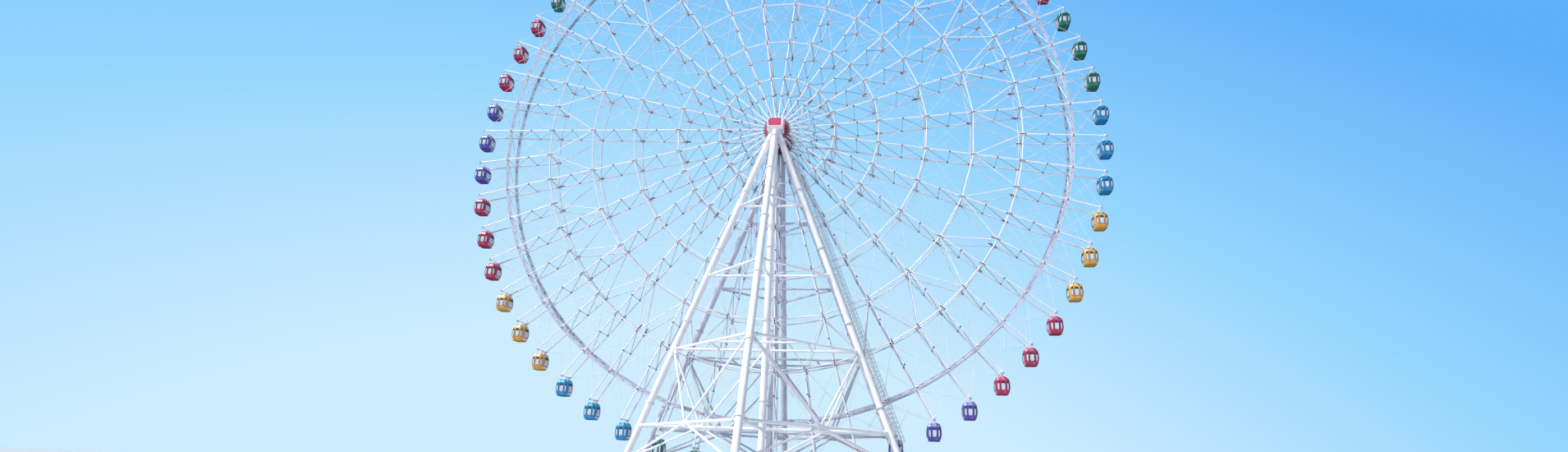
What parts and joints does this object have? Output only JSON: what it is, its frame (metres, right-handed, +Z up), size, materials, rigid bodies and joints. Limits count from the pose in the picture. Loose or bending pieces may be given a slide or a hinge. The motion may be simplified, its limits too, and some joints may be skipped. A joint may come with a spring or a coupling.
{
  "type": "1:10 scale model of a ferris wheel",
  "caption": "Ferris wheel scale model: laced spoke wheel on two braced four-legged towers, with coloured cabins that stay level as it turns.",
  "frame": {"origin": "on the ground, straight under the hub, in the middle of the wheel's thickness", "axes": "+X across the wheel to the viewer's right, +Y along the shaft away from the viewer, +Z up"},
  "size_m": [8.5822, 4.3502, 8.7737],
  "materials": {
    "white_steel": "satin white paint",
    "hub_red": "satin red paint",
    "cabin_green": "gloss green paint",
    "cabin_red": "gloss red paint",
    "cabin_blue": "gloss blue paint",
    "cabin_yellow": "gloss yellow paint",
    "cabin_light_blue": "gloss light blue paint"
  },
  "bodies": {
    "base": {"front_tower": "white_steel", "rear_tower": "white_steel"},
    "wheel": {"wheel_hub": "hub_red", "wheel_front_frame": "white_steel", "wheel_rear_frame": "white_steel", "rim_lacing": "white_steel"},
    "cabin_01_body": {"cabin_01": "cabin_green"},
    "cabin_02_body": {"cabin_02": "cabin_green"},
    "cabin_03_body": {"cabin_03": "cabin_green"},
    "cabin_04_body": {"cabin_04": "cabin_red"},
    "cabin_05_body": {"cabin_05": "cabin_red"},
    "cabin_06_body": {"cabin_06": "cabin_red"},
    "cabin_07_body": {"cabin_07": "cabin_blue"},
    "cabin_08_body": {"cabin_08": "cabin_blue"},
    "cabin_09_body": {"cabin_09": "cabin_blue"},
    "cabin_10_body": {"cabin_10": "cabin_red"},
    "cabin_11_body": {"cabin_11": "cabin_red"},
    "cabin_12_body": {"cabin_12": "cabin_red"},
    "cabin_13_body": {"cabin_13": "cabin_yellow"},
    "cabin_14_body": {"cabin_14": "cabin_yellow"},
    "cabin_15_body": {"cabin_15": "cabin_yellow"},
    "cabin_16_body": {"cabin_16": "cabin_light_blue"},
    "cabin_17_body": {"cabin_17": "cabin_light_blue"},
    "cabin_18_body": {"cabin_18": "cabin_light_blue"},
    "cabin_19_body": {"cabin_19": "cabin_green"},
    "cabin_20_body": {"cabin_20": "cabin_green"},
    "cabin_21_body": {"cabin_21": "cabin_green"},
    "cabin_22_body": {"cabin_22": "cabin_red"},
    "cabin_23_body": {"cabin_23": "cabin_red"},
    "cabin_24_body": {"cabin_24": "cabin_red"},
    "cabin_25_body": {"cabin_25": "cabin_blue"},
    "cabin_26_body": {"cabin_26": "cabin_blue"},
    "cabin_27_body": {"cabin_27": "cabin_blue"},
    "cabin_28_body": {"cabin_28": "cabin_red"},
    "cabin_29_body": {"cabin_29": "cabin_red"},
    "cabin_30_body": {"cabin_30": "cabin_red"},
    "cabin_31_body": {"cabin_31": "cabin_yellow"},
    "cabin_32_body": {"cabin_32": "cabin_yellow"},
    "cabin_33_body": {"cabin_33": "cabin_yellow"},
    "cabin_34_body": {"cabin_34": "cabin_light_blue"},
    "cabin_35_body": {"cabin_35": "cabin_light_blue"},
    "cabin_36_body": {"cabin_36": "cabin_light_blue"},
    "cabin_37_body": {"cabin_37": "cabin_green"},
    "cabin_38_body": {"cabin_38": "cabin_green"},
    "cabin_39_body": {"cabin_39": "cabin_green"},
    "cabin_40_body": {"cabin_40": "cabin_red"},
    "cabin_41_body": {"cabin_41": "cabin_red"},
    "cabin_42_body": {"cabin_42": "cabin_red"},
    "cabin_43_body": {"cabin_43": "cabin_blue"},
    "cabin_44_body": {"cabin_44": "cabin_blue"},
    "cabin_45_body": {"cabin_45": "cabin_blue"},
    "cabin_46_body": {"cabin_46": "cabin_red"},
    "cabin_47_body": {"cabin_47": "cabin_red"},
    "cabin_48_body": {"cabin_48": "cabin_red"},
    "cabin_49_body": {"cabin_49": "cabin_yellow"},
    "cabin_50_body": {"cabin_50": "cabin_yellow"},
    "cabin_51_body": {"cabin_51": "cabin_yellow"},
    "cabin_52_body": {"cabin_52": "cabin_light_blue"},
    "cabin_53_body": {"cabin_53": "cabin_light_blue"},
    "cabin_54_body": {"cabin_54": "cabin_light_blue"}
  },
  "joints": [
    {"name": "wheel_spin", "type": "hinge", "parent": "base", "child": "wheel", "pos_m": [0, 0, 4.55], "axis": [0, -1, 0], "continuous": true},
    {"name": "cabin_01_level", "type": "hinge", "parent": "wheel", "child": "cabin_01_body", "pos_m": [4.12112, 0, 5.39569], "axis": [0, -1, 0], "continuous": true},
    {"name": "cabin_02_level", "type": "hinge", "parent": "wheel", "child": "cabin_02_body", "pos_m": [3.99508, 0, 5.86841], "axis": [0, -1, 0], "continuous": true},
    {"name": "cabin_03_level", "type": "hinge", "parent": "wheel", "child": "cabin_03_body", "pos_m": [3.81501, 0, 6.32329], "axis": [0, -1, 0], "continuous": true},
    {"name": "cabin_04_level", "type": "hinge", "parent": "wheel", "child": "cabin_04_body", "pos_m": [3.58334, 0, 6.7542], "axis": [0, -1, 0], "continuous": true},
    {"name": "cabin_05_level", "type": "hinge", "parent": "wheel", "child": "cabin_05_body", "pos_m": [3.30322, 0, 7.1553], "axis": [0, -1, 0], "continuous": true},
    {"name": "cabin_06_level", "type": "hinge", "parent": "wheel", "child": "cabin_06_body", "pos_m": [2.97843, 0, 7.52116], "axis": [0, -1, 0], "continuous": true},
    {"name": "cabin_07_level", "type": "hinge", "parent": "wheel", "child": "cabin_07_body", "pos_m": [2.61336, 0, 7.84685], "axis": [0, -1, 0], "continuous": true},
    {"name": "cabin_08_level", "type": "hinge", "parent": "wheel", "child": "cabin_08_body", "pos_m": [2.21295, 0, 8.12795], "axis": [0, -1, 0], "continuous": true},
    {"name": "cabin_09_level", "type": "hinge", "parent": "wheel", "child": "cabin_09_body", "pos_m": [1.78261, 0, 8.36066], "axis": [0, -1, 0], "continuous": true},
    {"name": "cabin_10_level", "type": "hinge", "parent": "wheel", "child": "cabin_10_body", "pos_m": [1.32817, 0, 8.54184], "axis": [0, -1, 0], "continuous": true},
    {"name": "cabin_11_level", "type": "hinge", "parent": "wheel", "child": "cabin_11_body", "pos_m": [0.85576, 0, 8.66904], "axis": [0, -1, 0], "continuous": true},
    {"name": "cabin_12_level", "type": "hinge", "parent": "wheel", "child": "cabin_12_body", "pos_m": [0.37178, 0, 8.74054], "axis": [0, -1, 0], "continuous": true},
    {"name": "cabin_13_level", "type": "hinge", "parent": "wheel", "child": "cabin_13_body", "pos_m": [-0.11722, 0, 8.75537], "axis": [0, -1, 0], "continuous": true},
    {"name": "cabin_14_level", "type": "hinge", "parent": "wheel", "child": "cabin_14_body", "pos_m": [-0.60464, 0, 8.71332], "axis": [0, -1, 0], "continuous": true},
    {"name": "cabin_15_level", "type": "hinge", "parent": "wheel", "child": "cabin_15_body", "pos_m": [-1.08389, 0, 8.61498], "axis": [0, -1, 0], "continuous": true},
    {"name": "cabin_16_level", "type": "hinge", "parent": "wheel", "child": "cabin_16_body", "pos_m": [-1.54847, 0, 8.46166], "axis": [0, -1, 0], "continuous": true},
    {"name": "cabin_17_level", "type": "hinge", "parent": "wheel", "child": "cabin_17_body", "pos_m": [-1.99212, 0, 8.25544], "axis": [0, -1, 0], "continuous": true},
    {"name": "cabin_18_level", "type": "hinge", "parent": "wheel", "child": "cabin_18_body", "pos_m": [-2.40882, 0, 7.99912], "axis": [0, -1, 0], "continuous": true},
    {"name": "cabin_19_level", "type": "hinge", "parent": "wheel", "child": "cabin_19_body", "pos_m": [-2.79296, 0, 7.69615], "axis": [0, -1, 0], "continuous": true},
    {"name": "cabin_20_level", "type": "hinge", "parent": "wheel", "child": "cabin_20_body", "pos_m": [-3.13931, 0, 7.35063], "axis": [0, -1, 0], "continuous": true},
    {"name": "cabin_21_level", "type": "hinge", "parent": "wheel", "child": "cabin_21_body", "pos_m": [-3.44322, 0, 6.96725], "axis": [0, -1, 0], "continuous": true},
    {"name": "cabin_22_level", "type": "hinge", "parent": "wheel", "child": "cabin_22_body", "pos_m": [-3.70057, 0, 6.55117], "axis": [0, -1, 0], "continuous": true},
    {"name": "cabin_23_level", "type": "hinge", "parent": "wheel", "child": "cabin_23_body", "pos_m": [-3.90786, 0, 6.10803], "axis": [0, -1, 0], "continuous": true},
    {"name": "cabin_24_level", "type": "hinge", "parent": "wheel", "child": "cabin_24_body", "pos_m": [-4.06232, 0, 5.64382], "axis": [0, -1, 0], "continuous": true},
    {"name": "cabin_25_level", "type": "hinge", "parent": "wheel", "child": "cabin_25_body", "pos_m": [-4.16183, 0, 5.16481], "axis": [0, -1, 0], "continuous": true},
    {"name": "cabin_26_level", "type": "hinge", "parent": "wheel", "child": "cabin_26_body", "pos_m": [-4.20507, 0, 4.6775], "axis": [0, -1, 0], "continuous": true},
    {"name": "cabin_27_level", "type": "hinge", "parent": "wheel", "child": "cabin_27_body", "pos_m": [-4.19144, 0, 4.18846], "axis": [0, -1, 0], "continuous": true},
    {"name": "cabin_28_level", "type": "hinge", "parent": "wheel", "child": "cabin_28_body", "pos_m": [-4.12112, 0, 3.70431], "axis": [0, -1, 0], "continuous": true},
    {"name": "cabin_29_level", "type": "hinge", "parent": "wheel", "child": "cabin_29_body", "pos_m": [-3.99508, 0, 3.23159], "axis": [0, -1, 0], "continuous": true},
    {"name": "cabin_30_level", "type": "hinge", "parent": "wheel", "child": "cabin_30_body", "pos_m": [-3.81501, 0, 2.77671], "axis": [0, -1, 0], "continuous": true},
    {"name": "cabin_31_level", "type": "hinge", "parent": "wheel", "child": "cabin_31_body", "pos_m": [-3.58334, 0, 2.3458], "axis": [0, -1, 0], "continuous": true},
    {"name": "cabin_32_level", "type": "hinge", "parent": "wheel", "child": "cabin_32_body", "pos_m": [-3.30322, 0, 1.9447], "axis": [0, -1, 0], "continuous": true},
    {"name": "cabin_33_level", "type": "hinge", "parent": "wheel", "child": "cabin_33_body", "pos_m": [-2.97843, 0, 1.57884], "axis": [0, -1, 0], "continuous": true},
    {"name": "cabin_34_level", "type": "hinge", "parent": "wheel", "child": "cabin_34_body", "pos_m": [-2.61336, 0, 1.25315], "axis": [0, -1, 0], "continuous": true},
    {"name": "cabin_35_level", "type": "hinge", "parent": "wheel", "child": "cabin_35_body", "pos_m": [-2.21295, 0, 0.97205], "axis": [0, -1, 0], "continuous": true},
    {"name": "cabin_36_level", "type": "hinge", "parent": "wheel", "child": "cabin_36_body", "pos_m": [-1.78261, 0, 0.73934], "axis": [0, -1, 0], "continuous": true},
    {"name": "cabin_37_level", "type": "hinge", "parent": "wheel", "child": "cabin_37_body", "pos_m": [-1.32817, 0, 0.55816], "axis": [0, -1, 0], "continuous": true},
    {"name": "cabin_38_level", "type": "hinge", "parent": "wheel", "child": "cabin_38_body", "pos_m": [-0.85576, 0, 0.43096], "axis": [0, -1, 0], "continuous": true},
    {"name": "cabin_39_level", "type": "hinge", "parent": "wheel", "child": "cabin_39_body", "pos_m": [-0.37178, 0, 0.35946], "axis": [0, -1, 0], "continuous": true},
    {"name": "cabin_40_level", "type": "hinge", "parent": "wheel", "child": "cabin_40_body", "pos_m": [0.11722, 0, 0.34463], "axis": [0, -1, 0], "continuous": true},
    {"name": "cabin_41_level", "type": "hinge", "parent": "wheel", "child": "cabin_41_body", "pos_m": [0.60464, 0, 0.38668], "axis": [0, -1, 0], "continuous": true},
    {"name": "cabin_42_level", "type": "hinge", "parent": "wheel", "child": "cabin_42_body", "pos_m": [1.08389, 0, 0.48502], "axis": [0, -1, 0], "continuous": true},
    {"name": "cabin_43_level", "type": "hinge", "parent": "wheel", "child": "cabin_43_body", "pos_m": [1.54847, 0, 0.63834], "axis": [0, -1, 0], "continuous": true},
    {"name": "cabin_44_level", "type": "hinge", "parent": "wheel", "child": "cabin_44_body", "pos_m": [1.99212, 0, 0.84456], "axis": [0, -1, 0], "continuous": true},
    {"name": "cabin_45_level", "type": "hinge", "parent": "wheel", "child": "cabin_45_body", "pos_m": [2.40882, 0, 1.10088], "axis": [0, -1, 0], "continuous": true},
    {"name": "cabin_46_level", "type": "hinge", "parent": "wheel", "child": "cabin_46_body", "pos_m": [2.79296, 0, 1.40385], "axis": [0, -1, 0], "continuous": true},
    {"name": "cabin_47_level", "type": "hinge", "parent": "wheel", "child": "cabin_47_body", "pos_m": [3.13931, 0, 1.74937], "axis": [0, -1, 0], "continuous": true},
    {"name": "cabin_48_level", "type": "hinge", "parent": "wheel", "child": "cabin_48_body", "pos_m": [3.44322, 0, 2.13275], "axis": [0, -1, 0], "continuous": true},
    {"name": "cabin_49_level", "type": "hinge", "parent": "wheel", "child": "cabin_49_body", "pos_m": [3.70057, 0, 2.54883], "axis": [0, -1, 0], "continuous": true},
    {"name": "cabin_50_level", "type": "hinge", "parent": "wheel", "child": "cabin_50_body", "pos_m": [3.90786, 0, 2.99197], "axis": [0, -1, 0], "continuous": true},
    {"name": "cabin_51_level", "type": "hinge", "parent": "wheel", "child": "cabin_51_body", "pos_m": [4.06232, 0, 3.45618], "axis": [0, -1, 0], "continuous": true},
    {"name": "cabin_52_level", "type": "hinge", "parent": "wheel", "child": "cabin_52_body", "pos_m": [4.16183, 0, 3.93519], "axis": [0, -1, 0], "continuous": true},
    {"name": "cabin_53_level", "type": "hinge", "parent": "wheel", "child": "cabin_53_body", "pos_m": [4.20507, 0, 4.4225], "axis": [0, -1, 0], "continuous": true},
    {"name": "cabin_54_level", "type": "hinge", "parent": "wheel", "child": "cabin_54_body", "pos_m": [4.19144, 0, 4.91154], "axis": [0, -1, 0], "continuous": true}
  ],
  "couplings": [
    {"joint": "cabin_01_level", "follows": "wheel_spin", "ratio": -1},
    {"joint": "cabin_02_level", "follows": "wheel_spin", "ratio": -1},
    {"joint": "cabin_03_level", "follows": "wheel_spin", "ratio": -1},
    {"joint": "cabin_04_level", "follows": "wheel_spin", "ratio": -1},
    {"joint": "cabin_05_level", "follows": "wheel_spin", "ratio": -1},
    {"joint": "cabin_06_level", "follows": "wheel_spin", "ratio": -1},
    {"joint": "cabin_07_level", "follows": "wheel_spin", "ratio": -1},
    {"joint": "cabin_08_level", "follows": "wheel_spin", "ratio": -1},
    {"joint": "cabin_09_level", "follows": "wheel_spin", "ratio": -1},
    {"joint": "cabin_10_level", "follows": "wheel_spin", "ratio": -1},
    {"joint": "cabin_11_level", "follows": "wheel_spin", "ratio": -1},
    {"joint": "cabin_12_level", "follows": "wheel_spin", "ratio": -1},
    {"joint": "cabin_13_level", "follows": "wheel_spin", "ratio": -1},
    {"joint": "cabin_14_level", "follows": "wheel_spin", "ratio": -1},
    {"joint": "cabin_15_level", "follows": "wheel_spin", "ratio": -1},
    {"joint": "cabin_16_level", "follows": "wheel_spin", "ratio": -1},
    {"joint": "cabin_17_level", "follows": "wheel_spin", "ratio": -1},
    {"joint": "cabin_18_level", "follows": "wheel_spin", "ratio": -1},
    {"joint": "cabin_19_level", "follows": "wheel_spin", "ratio": -1},
    {"joint": "cabin_20_level", "follows": "wheel_spin", "ratio": -1},
    {"joint": "cabin_21_level", "follows": "wheel_spin", "ratio": -1},
    {"joint": "cabin_22_level", "follows": "wheel_spin", "ratio": -1},
    {"joint": "cabin_23_level", "follows": "wheel_spin", "ratio": -1},
    {"joint": "cabin_24_level", "follows": "wheel_spin", "ratio": -1},
    {"joint": "cabin_25_level", "follows": "wheel_spin", "ratio": -1},
    {"joint": "cabin_26_level", "follows": "wheel_spin", "ratio": -1},
    {"joint": "cabin_27_level", "follows": "wheel_spin", "ratio": -1},
    {"joint": "cabin_28_level", "follows": "wheel_spin", "ratio": -1},
    {"joint": "cabin_29_level", "follows": "wheel_spin", "ratio": -1},
    {"joint": "cabin_30_level", "follows": "wheel_spin", "ratio": -1},
    {"joint": "cabin_31_level", "follows": "wheel_spin", "ratio": -1},
    {"joint": "cabin_32_level", "follows": "wheel_spin", "ratio": -1},
    {"joint": "cabin_33_level", "follows": "wheel_spin", "ratio": -1},
    {"joint": "cabin_34_level", "follows": "wheel_spin", "ratio": -1},
    {"joint": "cabin_35_level", "follows": "wheel_spin", "ratio": -1},
    {"joint": "cabin_36_level", "follows": "wheel_spin", "ratio": -1},
    {"joint": "cabin_37_level", "follows": "wheel_spin", "ratio": -1},
    {"joint": "cabin_38_level", "follows": "wheel_spin", "ratio": -1},
    {"joint": "cabin_39_level", "follows": "wheel_spin", "ratio": -1},
    {"joint": "cabin_40_level", "follows": "wheel_spin", "ratio": -1},
    {"joint": "cabin_41_level", "follows": "wheel_spin", "ratio": -1},
    {"joint": "cabin_42_level", "follows": "wheel_spin", "ratio": -1},
    {"joint": "cabin_43_level", "follows": "wheel_spin", "ratio": -1},
    {"joint": "cabin_44_level", "follows": "wheel_spin", "ratio": -1},
    {"joint": "cabin_45_level", "follows": "wheel_spin", "ratio": -1},
    {"joint": "cabin_46_level", "follows": "wheel_spin", "ratio": -1},
    {"joint": "cabin_47_level", "follows": "wheel_spin", "ratio": -1},
    {"joint": "cabin_48_level", "follows": "wheel_spin", "ratio": -1},
    {"joint": "cabin_49_level", "follows": "wheel_spin", "ratio": -1},
    {"joint": "cabin_50_level", "follows": "wheel_spin", "ratio": -1},
    {"joint": "cabin_51_level", "follows": "wheel_spin", "ratio": -1},
    {"joint": "cabin_52_level", "follows": "wheel_spin", "ratio": -1},
    {"joint": "cabin_53_level", "follows": "wheel_spin", "ratio": -1},
    {"joint": "cabin_54_level", "follows": "wheel_spin", "ratio": -1}
  ]
}
